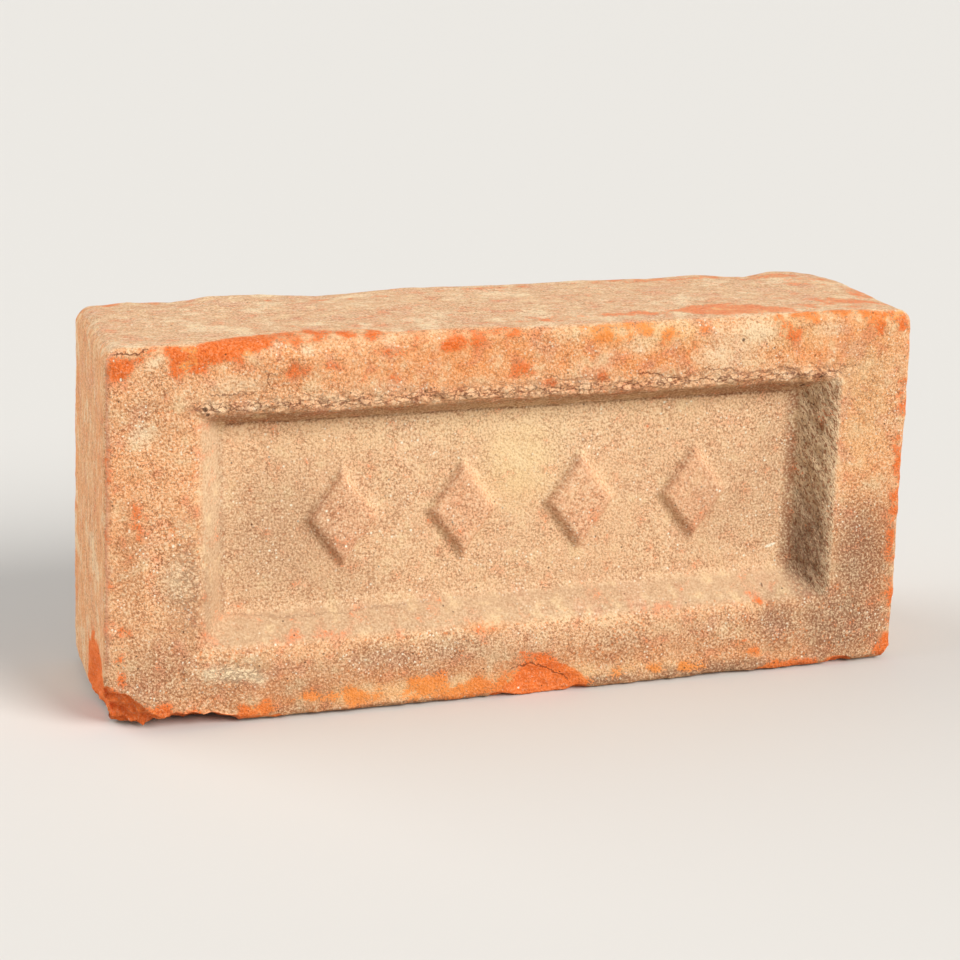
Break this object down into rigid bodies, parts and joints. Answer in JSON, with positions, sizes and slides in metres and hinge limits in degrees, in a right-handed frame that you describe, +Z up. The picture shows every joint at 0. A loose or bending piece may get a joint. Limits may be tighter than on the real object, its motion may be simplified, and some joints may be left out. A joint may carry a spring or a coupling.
{
  "type": "clay brick",
  "caption": "Frogged fired-clay building brick with a tapered rectangular recess in one bed face, rounded arrises and chipped edges, for laying in mortar.",
  "frame": {"origin": "on the floor, under the middle of the brick, which stands on its long narrow side", "axes": "+X along the brick's length, +Y through its thickness from the frogged bed face to the plain bed face, +Z up across the bed faces"},
  "size_m": [0.2109, 0.0576, 0.0965],
  "materials": {
    "fired_clay": "matt sandy buff skin over orange clay, which shows at the worn and chipped arrises"
  },
  "bodies": {
    "root": {"brick": "fired_clay"}
  },
  "joints": []
}
